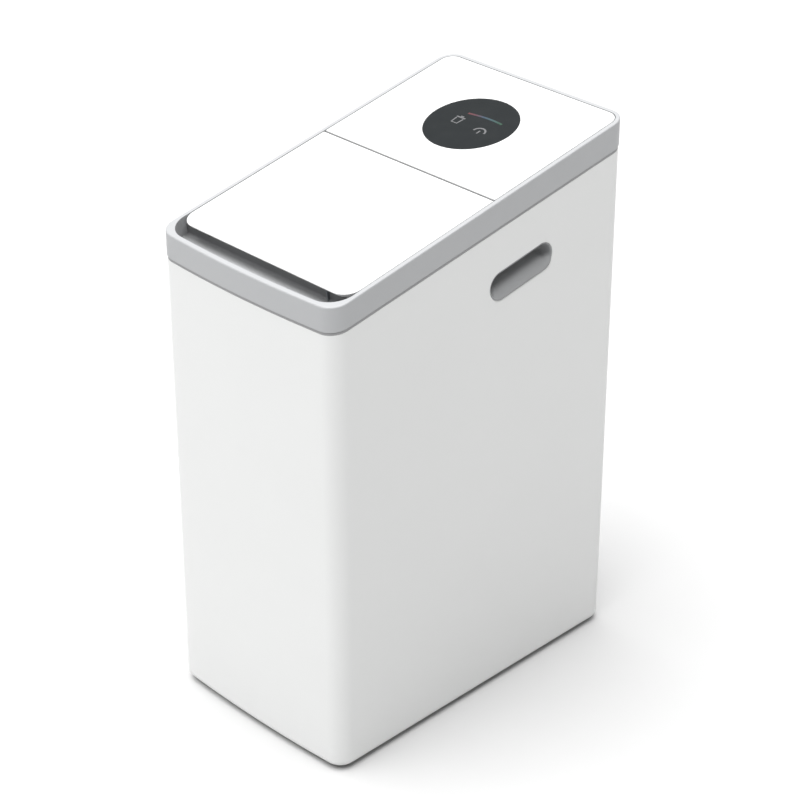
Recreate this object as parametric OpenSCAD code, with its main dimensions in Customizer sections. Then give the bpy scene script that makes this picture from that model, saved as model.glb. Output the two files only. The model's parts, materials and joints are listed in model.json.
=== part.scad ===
// Trash compactor: narrow free-standing cabinet with a sloping top, a front lid over the
// waste bin, and a rear deck with a round display. Behind the bin a steel plate, driven by
// two power screws, presses the waste towards the front. Millimetres, +Z up, front at -Y.

/* [Cabinet] */
// Width over the collar
body_w = 300; // [280:1:320]
// Depth from the bowed front to the rear
body_d = 498; // [480:1:520]
// Height of the top plane above the casing bottom, at the front corners
front_h = 640; // [600:1:680]
// Fall of the top plane towards the front, degrees
top_slope = 10; // [8:0.5:12]
// Radius of the bowed front in plan
front_r = 2000; // [1200:50:4000]
// Vertical corner radius
corner_r = 24; // [18:1:30]
// Height of the feet below the casing
foot_h = 5; // [3:0.5:12]
// Casing sheet thickness
sheet = 1.5; // [1:0.1:2.5]
// Width of the folded flange under the casing
fold_w = 12; // [5:0.5:14]

/* [Collar] */
// Height of the collar band at the front corners
band_h = 33; // [28:0.2:42]
// Shadow gap between collar and casing
seam_h = 3.6; // [1:0.1:4]
// Slope of the collar's lower edge, degrees
seam_slope = 9.6; // [8:0.1:12]
// Step of the casing inside the collar
casing_step = 0.8; // [0.3:0.1:1.5]
// Half width of the opening that holds lid and deck
mouth_hw = 144.3; // [142:0.1:146]
// Depth of the finger scoop under the lid's front edge
scoop_d = 24; // [18:1:30]

/* [Lid] */
// Distance of the lid's front edge from the front corner plane, along the slope
lid_front = 28.4; // [24:0.2:34]
// Distance of the hinge axis from the front corner plane, along the slope
hinge_s = 266; // [250:1:280]
// Radius of the hinge barrel along the lid's rear edge
barrel_r = 4; // [3:0.5:6]
// Depth of the lid pan
lid_t = 8; // [6:0.5:12]
// Corner radius at the lid's front
lid_cr = 22; // [16:1:28]

/* [Display] */
// Radius of the round display
disp_r = 60; // [50:1:65]
// Display centre, along the slope
disp_s = 382.3; // [375:0.1:390]

/* [Hand holds] */
// Overall length of the hand-hold opening
hold_l = 110; // [100:1:120]
// Height of the hand-hold opening
hold_h = 37; // [30:1:42]
// Hand-hold centre, fore and aft
hold_y = 65; // [50:1:80]
// Hand-hold centre height
hold_z = 586; // [570:1:600]
// Depth of the hand-hold cup
hold_d = 22; // [18:1:24]

/* [Bin] */
// Half width of the bin
bin_hw = 125; // [110:1:126]
// Front of the bin
bin_y0 = -191; // [-195:1:-180]
// Rear of the bin
bin_y1 = 3; // [0:1:4]
// Height of the bin's rim above the floor
bin_top = 584; // [560:1:586]
// Bin wall thickness
bin_t = 2; // [1.5:0.1:3]

/* [Press] */
// Half width of the press plate
ram_hw = 121; // [100:1:121]
// Lower edge of the press plate
ram_z0 = 24; // [23:1:40]
// Upper edge of the press plate
ram_z1 = 464; // [400:1:466]
// Front face of the press plate when retracted
ram_y = 6; // [5:0.5:8]
// Stroke of the press plate
stroke = 130; // [100:1:135]
// Power screw radius
screw_r = 8; // [6:0.5:10]
// Push tube outer radius
tube_r = 15; // [13:0.5:18]
// Guide rod radius
rod_r = 8; // [6:0.5:10]
// Pitch radius of the screw pulleys
pulley_r = 32; // [25:1:36]
// Pitch radius of the motor pulley
pinion_r = 16; // [12:1:20]

/* [Hidden] */
$fn = 64;
hw = body_w/2;
y_r = body_d/2;
y_a = -body_d/2;
y_o = -245;                      // front corner plane
z_o = foot_h + front_h;          // top plane height there
z_seam = z_o - band_h - seam_h;  // casing top height there
cas = casing_step;
wall_in = cas + sheet;
cos_t = cos(top_slope);
sin_t = sin(top_slope);
clr = 0.06;                      // running clearance on radius
screw_z = [150, 350];
rods = [[-92, 420], [92, 80]];
motor = [70, 250];
plate_hw = 128;
front_y = [-197, -193];
div_y = [22, 26];
brg_y = [196, 200];
rear_y = y_r - cas - sheet;      // outer face of the rear cover
deck_s = hinge_s + barrel_r + 1.4;
mouth_s1 = 496;
side_gap = 1.2;                  // gap beside the lid
tab_x = 100;
lock_s = 31.5;
lock_n = -36;
fan_z = 640;
filt_z = 575;
inlet = [-96, 68];
rocker = [-66, 68];
nut_y = [150, 172];

foot();
base_tray();
casing_wrap();
rear_cover();
collar_frame();
seam_gasket();
hinge_seal();
control_deck();
display_window();
display_board();
hand_cup_left();
hand_cup_right();
throat_liner();
waste_bin();
bag_ring();
chamber_floor();
front_plate();
divider_plate();
bearing_plate();
side_rails();
guide_bushes();
screw_bearings();
drive_belt();
gear_motor();
board_carrier();
control_board();
power_supply();
power_inlet();
fan_housing();
filter_guide();
lock_solenoid();
lid_sensor();
cover_screws();
plate_bolts();
wiring_loom();
lid_outer();
lid_inner();
lid_gasket();
hinge_pins();
lid_strike();
lid_magnet();
ram_plate();
push_tubes();
screw_nuts();
guide_rods();
screw_upper();
pulley_upper();
screw_lower();
pulley_lower();
motor_shaft();
motor_pulley();
lock_bolt();
fan_rotor();
filter_drawer();
carbon_filter();
power_rocker();

// ---- shared shapes ----

// Outline with straight sides, a bowed front and rounded corners.
module bowed(w, y0, y1, rf, r_front, r_rear) {
  c = y0 + rf;
  xf = w - r_front;
  phi = asin(xf/(rf - r_front));
  cy = c - (rf - r_front)*cos(phi);
  far = rf + 5;
  translate([-w, cy]) square([2*w, y1 - r_rear - cy]);
  translate([r_rear - w, cy]) square([2*(w - r_rear), y1 - cy]);
  for (sx = [-1, 1]) {
    translate([sx*(w - r_rear), y1 - r_rear]) circle(r_rear);
    translate([sx*xf, cy]) circle(r_front);
  }
  intersection() {
    translate([0, c]) circle(rf, $fn = 720);
    polygon([[-xf, cy], [xf, cy], [far*sin(phi), c - far*cos(phi)],
      [-far*sin(phi), c - far*cos(phi)]]);
  }
}

// Rectangle with rounded corners, given by its low and high corners.
module rounded(lo, hi, r) {
  translate([lo[0] + r, lo[1]]) square([hi[0] - lo[0] - 2*r, hi[1] - lo[1]]);
  translate([lo[0], lo[1] + r]) square([hi[0] - lo[0], hi[1] - lo[1] - 2*r]);
  for (x = [lo[0] + r, hi[0] - r], y = [lo[1] + r, hi[1] - r]) translate([x, y]) circle(r);
}

// Cabinet outline in plan, set in by i.
module plan(i) bowed(hw - i, y_a + i, y_r - i, front_r - i, corner_r - i, corner_r - i);

// Box between two corners.
module block(lo, hi) translate(lo) cube(hi - lo);

// Round bar along Y.
module bar_y(x, z, y0, y1, r) translate([x, y1, z]) rotate([90, 0, 0]) cylinder(r = r, h = y1 - y0);

// Round bar along X.
module bar_x(y, z, x0, x1, r) translate([x0, y, z]) rotate([0, 90, 0]) cylinder(r = r, h = x1 - x0);

// Tube along Y.
module tube_y(x, z, y0, y1, r, ri) difference() {
  bar_y(x, z, y0, y1, r);
  bar_y(x, z, y0 - 1, y1 + 1, ri);
}

// Frame of the sloping top: X across, Y up the slope, Z out of the top plane.
module slope() translate([0, y_o, z_o]) rotate([top_slope, 0, 0]) children();

// Slab of the top frame between two depths.
module slab(n0, n1, s0 = -60, s1 = 560) slope() block([-200, s0, n0], [200, s1, n1]);

// Upright prism of the cabinet outline, set in by i.
module upright(i) translate([0, 0, 560]) linear_extrude(240) plan(i);

// Opening in the collar that holds lid and deck.
module mouth(n0, n1) slope() translate([0, 0, n0]) linear_extrude(n1 - n0)
  bowed(mouth_hw, 2.5, mouth_s1, front_r, 32, 18);

// Everything above the collar's lower edge plus h.
module above_seam(h) translate([0, y_o, z_seam + h]) rotate([seam_slope, 0, 0])
  block([-300, -100, 0], [300, 700, 300]);

// Frame of the hand holds: Y along the opening, Z across it.
module hold_frame() translate([0, hold_y, hold_z]) rotate([top_slope, 0, 0]) children();

// Opening of a hand hold, grown by g, between two X positions of its frame.
module pill(g, x0, x1) translate([x0, 0, 0]) rotate([90, 0, 90]) linear_extrude(x1 - x0)
  rounded([-hold_l/2 - g, -hold_h/2 - g], [hold_l/2 + g, hold_h/2 + g], hold_h/2 + g - 0.1);

// ---- base and casing ----

module foot() color([0.15, 0.15, 0.15])
  for (x = [-100, 100], y = [-190, 200]) translate([x, y, 0]) {
    difference() {
      cylinder(r = 14, h = foot_h + sheet);
      translate([0, 0, -1]) cylinder(r = 7, h = 2.5);
    }
    cylinder(r = 3.95, h = foot_h + 4.2);
  }

module base_tray() color([0.25, 0.26, 0.27]) difference() {
  union() {
    translate([0, 0, foot_h + sheet]) linear_extrude(3) plan(cas + fold_w + 0.2);
    translate([0, 0, foot_h + sheet + 3]) linear_extrude(3) difference() {
      plan(6);
      plan(16);
    }
    translate([0, 0, foot_h + sheet + 6]) linear_extrude(22) difference() {
      plan(5);
      plan(7.5);
    }
    block([-117.5, rear_y - sheet - 4.3, foot_h + sheet + 3],
      [117.5, rear_y - sheet - 0.3, foot_h + sheet + 28]);
  }
  for (x = [-100, 100], y = [-190, 200]) translate([x, y, 0]) cylinder(r = 4, h = 40);
  for (x = [-60:20:60]) translate([x, 110, 0]) linear_extrude(40) square([6, 60], center = true);
}

module casing_wrap() color([0.93, 0.93, 0.93]) difference() {
  union() {
    translate([0, 0, foot_h]) linear_extrude(700) difference() {
      plan(cas);
      plan(wall_in);
    }
    translate([0, 0, foot_h]) linear_extrude(sheet) difference() {
      plan(cas);
      plan(cas + fold_w);
    }
  }
  above_seam(0);
  block([-118, y_r - 20, 0], [118, y_r + 20, 900]);
  hold_frame() pill(0, -200, 200);
  for (sx = [-1, 1], z = [40:80:680]) bar_y(sx*122, z, y_r - 20, y_r, 1.6);
}

module rear_cover() color([0.8, 0.8, 0.81]) difference() {
  union() {
    block([-125, rear_y - sheet, foot_h + 20], [125, rear_y, 900]);
    block([-117.6, rear_y - sheet, foot_h + 1.5], [117.6, rear_y, foot_h + 20]);
  }
  above_seam(0);
  for (sx = [-1, 1], z = [40:80:680]) bar_y(sx*122, z, rear_y - 5, rear_y + 5, 1.6);
  // fan grille
  for (r = [8, 16, 24], a = [0:45:315]) rotate_y_ring(fan_z, r, a);
  bar_y(0, fan_z, rear_y - 5, rear_y + 5, 3);
  // filter slot, inlet and switch cut-out
  block([-58.5, rear_y - 5, filt_z - 15], [58.5, rear_y + 5, filt_z + 15]);
  block([-115, rear_y - 5, 55.5], [-56, rear_y + 5, 80.5]);
  // lower vents
  for (z = [120:14:330]) for (x = [-60, 0, 60])
    block([x - 22, rear_y - 5, z], [x + 22, rear_y + 5, z + 5]);
}

// One grille hole on a ring about the fan axis.
module rotate_y_ring(z, r, a)
  bar_y(r*cos(a + r*2), z + r*sin(a + r*2), rear_y - 5, rear_y + 5, 2.6);

module seam_gasket() color([0.42, 0.43, 0.44]) intersection() {
  translate([0, 0, 560]) linear_extrude(240) difference() {
    plan(1.2);
    plan(wall_in + 0.2);
  }
  difference() {
    above_seam(0);
    above_seam(seam_h);
  }
}

// flat strip bonded to the deck's front edge; closes the gap behind the hinge barrel
module hinge_seal() color([0.42, 0.43, 0.44])
  slope() block([1.5 - mouth_hw, deck_s - 0.9, -2.9], [mouth_hw - 1.5, deck_s, -0.7]);

// ---- collar, deck and display ----

module collar_frame() color([0.72, 0.73, 0.74]) difference() {
  union() {
    // band and locating skirt
    intersection() {
      difference() {
        upright(0);
        upright(3);
      }
      above_seam(seam_h);
      slab(-200, 0);
    }
    intersection() {
      difference() {
        upright(wall_in + 0.2);
        upright(wall_in + 2.2);
      }
      difference() {
        above_seam(-14);
        above_seam(seam_h + 4);
      }
      block([-200, -300, 500], [200, y_r - corner_r, 800]);
    }
    // rim, deeper beside the scoop
    intersection() {
      difference() {
        upright(0);
        mouth(-60, 10);
      }
      union() {
        slab(-11, 0);
        slab(-scoop_d - 2.5, 0, -60, 40.5);
      }
    }
    // ledge under the lid and gutter under the hinge
    intersection() {
      upright(2.5);
      difference() {
        slab(-14, -11, 38, 277);
        throat_prism(2, 0);
      }
    }
    // ledge under the deck
    intersection() {
      upright(2.5);
      difference() {
        union() {
          slab(-6, -3.02, deck_s + 0.4, 560);
          slab(-11, -3.02, deck_s + 0.4, deck_s + 3.4);
        }
        slope() translate([0, 0, -30]) linear_extrude(40)
          rounded([-134, deck_s + 9], [134, mouth_s1 - 10], 12);
      }
    }
    // dished finger scoop
    intersection() {
      upright(2.5);
      slab(-60, -2, -60, 40.5);
      slope() translate([-160, 38, scoop_d*2/3]) rotate([0, 90, 0])
        cylinder(r = scoop_d*5/3 + 2.5, h = 320, $fn = 128);
    }
    intersection() {
      upright(2.5);
      slab(-scoop_d - 2.5, -11, 38, 40.5);
    }
  }
  intersection() {
    mouth(-60, 10);
    slab(-60, 10, -60, 38);
    union() {
      slope() translate([-160, 38, scoop_d*2/3]) rotate([0, 90, 0])
        cylinder(r = scoop_d*5/3, h = 320, $fn = 128);
      slab(-1, 10);
    }
  }
  intersection() {
    mouth(-11, 10);
    slab(-11, 10, 30, 60);
  }
  // strike slot, hinge bores
  slope() block([tab_x - 2.5, 25.4, -60], [tab_x + 4.5, 38.6, -10]);
  slope() for (sx = [-1, 1])
    bar_x(hinge_s, -barrel_r, sx*146 - 2.4, sx*146 + 2.4, 2 + clr);
}

// Passage from the lid opening to the bin, grown by g, between two set-ins.
module throat_prism(g, up) translate([0, 0, 590 + up]) linear_extrude(200)
  rounded([-128.5 - g, bin_y0 - 3.5 - g], [128.5 + g, bin_y1 + 3.5 + g], 8 + g);

module throat_liner() color([0.4, 0.41, 0.42]) difference() {
  union() {
    intersection() {
      throat_prism(2, 0);
      slab(-200, -11);
    }
    intersection() {
      slab(-16, -14.02, 43, 259);
      block([-138, -300, 500], [138, 300, 800]);
    }
  }
  throat_prism(0, -10);
}

module deck_shape(i) bowed(mouth_hw - i, 200, mouth_s1 - i, front_r, 10, 18 - i);

module control_deck() color([0.97, 0.97, 0.97]) slope() difference() {
  union() {
    translate([0, 0, -3]) linear_extrude(3) intersection() {
      deck_shape(1.2);
      translate([-200, deck_s]) square([400, 300]);
    }
    translate([0, disp_s, -6]) cylinder(r = disp_r + 4, h = 4);
  }
  translate([0, disp_s, -3]) cylinder(r = disp_r + 0.3, h = 10, $fn = 128);
  translate([0, disp_s, -10]) cylinder(r = disp_r - 3.5, h = 20, $fn = 128);
}

module display_window() color([0.1, 0.11, 0.12]) slope()
  translate([0, disp_s, -2.98]) cylinder(r = disp_r, h = 2.7, $fn = 128);

module display_board() color([0.1, 0.35, 0.2]) slope() translate([0, disp_s, 0]) {
  difference() {
    translate([0, 0, -9.6]) cylinder(r = 52, h = 1.6);
    for (a = [30:120:270]) rotate(a) translate([46, 0, -20]) cylinder(r = 1.2, h = 30);
  }
  for (a = [90:120:330]) rotate(a) translate([45, 0, -8]) cylinder(r = 2.5, h = 5);
  for (x = [-20, 20]) translate([x, -8, -8]) block([-6, -6, 0], [6, 6, 2.5]);
  block([-24, 12, -8], [24, 17, -6]);
  block([-14, -16, -12.5], [14, 8, -9.6]);
}

// ---- hand holds ----

// One hand-hold cup on the right side; its lower wall rises inwards.
module hand_cup() hold_frame() {
  x1 = hw - wall_in;
  x0 = x1 - hold_d;
  difference() {
    union() {
      pill(2, x0 - 2, x1);
      pill(8, x1 - 2, x1);
    }
    pill(0, x0, x1 + 5);
  }
  intersection() {
    pill(1, x0 - 1, x1 - 1);
    rotate([90, 0, 0]) translate([0, 0, -100]) linear_extrude(200)
      polygon([[x0 - 2, -30], [x0 - 2, -hold_h*0.08], [x0, -hold_h*0.08], [x1, -hold_h/2], [x1, -30]]);
  }
}

module hand_cup_right() color([0.75, 0.76, 0.77]) hand_cup();

module hand_cup_left() color([0.75, 0.76, 0.77]) mirror([1, 0, 0]) hand_cup();

// ---- bin and press chamber ----

module waste_bin() color([0.35, 0.37, 0.39]) difference() {
  translate([0, 0, 16.2]) linear_extrude(bin_top - 16.2)
    rounded([-bin_hw, bin_y0], [bin_hw, bin_y1], 8);
  translate([0, 0, 16.2 + bin_t]) linear_extrude(bin_top)
    rounded([bin_t - bin_hw, bin_y0 + bin_t], [bin_hw - bin_t, bin_y1 - bin_t], 8 - bin_t);
  // window for the press plate
  translate([0, bin_y1 + 3, 0]) rotate([90, 0, 0]) linear_extrude(14)
    rounded([-122, 22.2], [122, 468], 3);
  // grip slots
  for (y = [-130, -58]) translate([-200, y, 552]) rotate([90, 0, 90]) linear_extrude(400)
    rounded([-24, -9], [24, 9], 8.9);
}

module bag_ring() color([0.6, 0.61, 0.62]) difference() {
  translate([0, 0, bin_top - 8]) linear_extrude(11)
    rounded([-bin_hw - 2.4, bin_y0 - 2.4], [bin_hw + 2.4, bin_y1 + 2.4], 10.4);
  translate([0, 0, bin_top - 20]) linear_extrude(20.1)
    rounded([-bin_hw - 0.1, bin_y0 - 0.1], [bin_hw + 0.1, bin_y1 + 0.1], 8.1);
  translate([0, 0, bin_top - 20]) linear_extrude(40)
    rounded([4 - bin_hw, bin_y0 + 4], [bin_hw - 4, bin_y1 - 4], 5);
}

module chamber_floor() color([0.6, 0.61, 0.62]) difference() {
  block([-plate_hw, front_y[1], foot_h + 4.5], [plate_hw, div_y[0], 16]);
  block([2 - plate_hw, front_y[1] - 5, 0], [plate_hw - 2, div_y[0] + 5, 14]);
}

module front_plate() color([0.62, 0.63, 0.65]) {
  block([-plate_hw, front_y[0], foot_h + 4.5], [plate_hw, front_y[1], 570]);
  for (z = [60, 150, 250, 350, 440]) {
    block([-110, front_y[0] - 14, z], [110, front_y[0], z + 3]);
    block([-110, front_y[0] - 14, z - 10], [110, front_y[0] - 11, z]);
  }
}

module divider_plate() color([0.62, 0.63, 0.65]) difference() {
  union() {
    block([-plate_hw, div_y[0], foot_h + 4.5], [plate_hw, div_y[1], 545]);
    block([-110, div_y[0], 545], [110, div_y[1], 600]);
  }
  for (z = screw_z) bar_y(0, z, div_y[0] - 5, div_y[1] + 5, tube_r + 3.2);
  for (p = rods) bar_y(p[0], p[1], div_y[0] - 5, div_y[1] + 5, rod_r + 3);
  for (x = [-80:20:80]) block([x - 6, div_y[0] - 5, 490], [x + 6, div_y[1] + 5, 530]);
}

module bearing_plate() color([0.62, 0.63, 0.65]) difference() {
  block([-plate_hw, brg_y[0], foot_h + 4.5], [plate_hw, brg_y[1], 500]);
  for (z = screw_z) {
    bar_y(0, z, brg_y[0] - 5, brg_y[1] + 5, 16);
    for (x = [-25, 25]) bar_y(x, z, brg_y[0] - 5, brg_y[1] + 5, 2.6);
  }
  bar_y(motor[0], motor[1], brg_y[0] - 5, brg_y[1] + 5, 12);
  for (a = [45:90:315])
    bar_y(motor[0] + 22*cos(a), motor[1] + 22*sin(a), brg_y[0] - 5, brg_y[1] + 5, 2.1);
  for (x = [-80, 80], z = [440, 30]) block([x - 20, brg_y[0] - 5, z], [x + 20, brg_y[1] + 5, z + 30]);
}

module side_rails() color([0.62, 0.63, 0.65])
  for (sx = [0, 1], z = [60, 400]) mirror([sx, 0, 0]) difference() {
    block([plate_hw, front_y[0], z], [plate_hw + 12, brg_y[1], z + 30]);
    block([plate_hw + 3, front_y[0] - 5, z + 3], [plate_hw + 20, brg_y[1] + 5, z + 27]);
  }

module guide_bushes() color([0.75, 0.62, 0.35]) {
  for (z = screw_z) {
    tube_y(0, z, div_y[0] - 1, div_y[1] + 5, tube_r + 3.2, tube_r + clr);
    tube_y(0, z, div_y[1], div_y[1] + 3, tube_r + 6, tube_r + 3);
  }
  for (p = rods) {
    tube_y(p[0], p[1], div_y[0] - 1, div_y[1] + 5, rod_r + 3, rod_r + clr);
    tube_y(p[0], p[1], div_y[1], div_y[1] + 3, rod_r + 6, rod_r + 2.5);
  }
}

module screw_bearings() color([0.7, 0.7, 0.72]) for (z = screw_z) difference() {
  union() {
    bar_y(0, z, brg_y[0] - 0.7, brg_y[1] + 2, 16);
    translate([0, brg_y[1] + 2, z]) rotate([90, 0, 0]) linear_extrude(2)
      rounded([-31, -18], [31, 18], 6);
  }
  bar_y(0, z, 0, 300, 6 + clr);
  for (x = [-25, 25]) bar_y(x, z, brg_y[0], brg_y[1] + 5, 2.6);
}

// ---- press ----

module ram_plate() color([0.55, 0.57, 0.6]) {
  difference() {
    union() {
      translate([0, ram_y + 3, 0]) rotate([90, 0, 0]) linear_extrude(3)
        rounded([-ram_hw, ram_z0], [ram_hw, ram_z1], 4);
      for (x = [-106, -60, 60, 103]) block([x, ram_y + 3, ram_z0 + 16], [x + 3, ram_y + 12, ram_z1 - 16]);
      for (z = [ram_z0 + 16, 150, 250, 350, ram_z1 - 19])
        block([-106, ram_y + 3, z - 1.5], [106, ram_y + 12, z + 1.5]);
      for (z = screw_z) bar_y(0, z, ram_y + 3, ram_y + 12, tube_r + 6);
      for (p = rods) bar_y(p[0], p[1], ram_y + 3, ram_y + 12, rod_r + 6);
    }
    for (z = screw_z) bar_y(0, z, ram_y + 3, ram_y + 20, tube_r);
    for (p = rods) bar_y(p[0], p[1], ram_y + 3, ram_y + 20, rod_r + 0.01);
  }
}

module push_tubes() color([0.7, 0.71, 0.73])
  for (z = screw_z) tube_y(0, z, ram_y + 3, nut_y[1], tube_r, tube_r - 4);

module screw_nuts() color([0.75, 0.62, 0.35]) for (z = screw_z) difference() {
  union() {
    bar_y(0, z, nut_y[0], nut_y[1], tube_r - 4);
    bar_y(0, z, nut_y[1], nut_y[1] + 8, tube_r + 2);
  }
  bar_y(0, z, nut_y[0] - 5, nut_y[1] + 20, screw_r + clr);
}

module guide_rods() color([0.78, 0.79, 0.8])
  for (p = rods) bar_y(p[0], p[1], ram_y + 3, nut_y[1] + 4, rod_r);

// Power screw with thrust collar and journal.
module power_screw(z) {
  bar_y(0, z, 28, brg_y[0] - 6, screw_r);
  bar_y(0, z, brg_y[0] - 6, brg_y[0] - 1, 12);
  bar_y(0, z, brg_y[0] - 1, 228, 6);
}

// Flanged belt pulley with three shallow grooves, about a point in the rear plane.
module pulley(p, r, bore) translate([p[0], 206, p[1]]) rotate([-90, 0, 0]) rotate_extrude()
  polygon([[bore, 0], [r + 3.5, 0], [r + 3.5, 1.4], [r, 1.4], [r, 3], [r - 1.5, 4], [r, 5],
    [r, 6], [r - 1.5, 7], [r, 8], [r, 9], [r - 1.5, 10], [r, 11], [r, 12.6], [r + 3.5, 12.6],
    [r + 3.5, 14], [bore + 5, 14], [bore + 5, 18], [bore, 18]]);

module screw_upper() color([0.8, 0.8, 0.82]) power_screw(screw_z[1]);

module screw_lower() color([0.8, 0.8, 0.82]) power_screw(screw_z[0]);

module pulley_upper() color([0.35, 0.36, 0.38]) pulley([0, screw_z[1]], pulley_r, 6);

module pulley_lower() color([0.35, 0.36, 0.38]) pulley([0, screw_z[0]], pulley_r, 6);

module motor_shaft() color([0.8, 0.8, 0.82]) bar_y(motor[0], motor[1], 164, 226, 5);

module motor_pulley() color([0.35, 0.36, 0.38]) pulley(motor, pinion_r, 5);

// Outline round the two screw pulleys and the motor pulley, g outside their pitch radii.
module belt_loop(g) {
  big = pulley_r + g;
  small = pinion_r + g;
  dz = screw_z[1] - motor[1];
  d = sqrt(motor[0]*motor[0] + dz*dz);
  a = acos((big - small)/d) - atan2(dz, motor[0]);
  polygon([[-big, screw_z[0]], [-big, screw_z[1]],
    [big*cos(a), screw_z[1] + big*sin(a)], [motor[0] + small*cos(a), motor[1] + small*sin(a)],
    [motor[0] + small*cos(a), motor[1] - small*sin(a)], [big*cos(a), screw_z[0] - big*sin(a)]]);
  for (z = screw_z) translate([0, z]) circle(big);
  translate(motor) circle(small);
}

module drive_belt() color([0.1, 0.1, 0.11]) translate([0, 217.5, 0]) rotate([90, 0, 0])
  linear_extrude(9) difference() {
    belt_loop(2.9);
    belt_loop(0.4);
  }

module gear_motor() color([0.3, 0.31, 0.33]) difference() {
  union() {
    bar_y(motor[0], motor[1], 148, brg_y[0], 31);
    bar_y(motor[0], motor[1], 72, 148, 26);
    bar_y(motor[0], motor[1], 66, 72, 18);
    bar_y(motor[0], motor[1], brg_y[0], brg_y[1] + 1, 11.9);
  }
  bar_y(motor[0], motor[1], 160, 300, 5 + clr);
  for (a = [45:90:315])
    bar_y(motor[0] + 22*cos(a), motor[1] + 22*sin(a), 182, brg_y[1] + 5, 1.9);
  for (a = [0:30:330])
    bar_y(motor[0] + 21.5*cos(a), motor[1] + 21.5*sin(a), 60, 80, 1.8);
}

// ---- electrics ----

module board_carrier() color([0.2, 0.21, 0.22]) {
  difference() {
    block([-plate_hw, 40, 75], [2 - plate_hw, 190, 415]);
    for (z = [110, 370]) block([-140, 70, z - 12], [-100, 160, z + 12]);
  }
  for (y = [56, 174], z = [186, 324]) bar_x(y, z, 2 - plate_hw, 6 - plate_hw, 4);
}

module control_board() color([0.1, 0.38, 0.2]) {
  x0 = 6 - plate_hw;
  block([x0, 50, 180], [x0 + 1.6, 180, 330]);
  for (y = [70, 95, 120]) block([x0 + 1.6, y, 195], [x0 + 17, y + 18, 222]);
  for (z = [250, 275]) bar_x(75, z, x0 + 1.6, x0 + 24, 9);
  block([x0 + 1.6, 100, 245], [x0 + 5, 140, 285]);
  for (y = [60:22:148]) block([x0 + 1.6, y, 308], [x0 + 10, y + 16, 322]);
}

module power_supply() color([0.7, 0.71, 0.72]) difference() {
  block([-122, 60, foot_h + 4.5], [-54, 175, 58]);
  block([-120, 62, foot_h + 7], [-56, 173, 56]);
  for (y = [75:10:160]) block([-112, y, 50], [-64, y + 5, 70]);
}

module power_inlet() color([0.08, 0.08, 0.09]) {
  difference() {
    union() {
      translate([0, rear_y + 2, 0]) rotate([90, 0, 0]) linear_extrude(2)
        rounded([-117.5, 51], [-53.5, 85], 4);
      block([-114.5, 226, 56], [-56.5, rear_y, 80]);
    }
    // socket with two cut corners
    translate([inlet[0], rear_y + 5, inlet[1]]) rotate([90, 0, 0]) linear_extrude(20.5)
      polygon([[-12, -8.2], [12, -8.2], [12, 4.2], [8, 8.2], [-8, 8.2], [-12, 4.2]]);
    // switch well
    block([rocker[0] - 7.2, 229, rocker[1] - 11.6], [rocker[0] + 7.2, rear_y + 5, rocker[1] + 11.6]);
  }
  for (p = [[-6.5, -2], [6.5, -2], [0, 2.5]])
    block([inlet[0] + p[0] - 1, rear_y - 15.6, inlet[1] + p[1] - 2],
      [inlet[0] + p[0] + 1, rear_y - 2, inlet[1] + p[1] + 2]);
  for (x = [-7.2, 5.2]) bar_x(rear_y - 4, rocker[1], rocker[0] + x, rocker[0] + x + 2, 1.5);
}

module power_rocker() color([0.1, 0.1, 0.11]) translate([rocker[0], rear_y - 4, rocker[1]])
  rotate([7, 0, 0]) difference() {
    rotate([90, 0, 90]) translate([0, 0, -6.8]) linear_extrude(13.6)
      polygon([[-5, -4], [-5, 4], [-1, 9.8], [4.4, 9.8], [3.4, 0], [4.4, -9.8], [-1, -9.8]]);
    bar_x(0, 0, -20, 20, 1.5 + clr);
  }

module fan_housing() color([0.12, 0.12, 0.13]) {
  y0 = rear_y - sheet - 16;
  difference() {
    translate([0, y0 + 16, fan_z]) rotate([90, 0, 0]) linear_extrude(16)
      rounded([-30, -30], [30, 30], 4);
    bar_y(0, fan_z, y0 - 1, y0 + 20, 28);
    for (x = [-25, 25], z = [-25, 25]) bar_y(x, fan_z + z, y0 - 1, y0 + 20, 1.8);
  }
  bar_y(0, fan_z, y0, y0 + 3, 12);
  bar_y(0, fan_z, y0 + 3, y0 + 7, 2.5);
  for (a = [30:120:270]) translate([0, y0 + 2.5, fan_z]) rotate([90, a, 0])
    block([6, -2, 0.2], [29, 2, 2.4]);
}

module fan_rotor() color([0.2, 0.2, 0.21]) {
  y1 = rear_y - sheet - 1.5;
  difference() {
    bar_y(0, fan_z, y1 - 11, y1, 11);
    bar_y(0, fan_z, y1 - 12, y1 - 6, 2.5 + clr);
  }
  for (a = [0:51.42857:310]) translate([0, y1 - 5.5, fan_z]) rotate([0, a, 0])
    rotate([0, 0, 35]) block([-0.8, -6, 10], [0.8, 5, 27]);
}

module filter_guide() color([0.3, 0.31, 0.32]) difference() {
  block([-62, 150, filt_z - 19], [62, rear_y - sheet, filt_z + 19]);
  block([-58, 154, filt_z - 15], [58, 260, filt_z + 15]);
  for (y = [162:12:222]) block([-48, y, filt_z - 25], [48, y + 7, filt_z + 25]);
}

module filter_drawer() color([0.25, 0.26, 0.27]) difference() {
  union() {
    block([-57.2, 158, filt_z - 14.2], [57.2, rear_y + 0.3, filt_z + 14.2]);
    translate([0, rear_y + 2.1, 0]) rotate([90, 0, 0]) linear_extrude(1.8)
      rounded([-62, filt_z - 18], [62, filt_z + 18], 3);
  }
  block([-55.2, 160, filt_z - 12.2], [55.2, rear_y - 3.7, filt_z + 20]);
  for (y = [168:12:216]) block([-44, y, filt_z - 25], [44, y + 6, filt_z]);
  // finger notch
  translate([0, rear_y + 5, filt_z]) rotate([90, 0, 0]) linear_extrude(7)
    rounded([-20, -7], [20, 7], 6.9);
}

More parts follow.
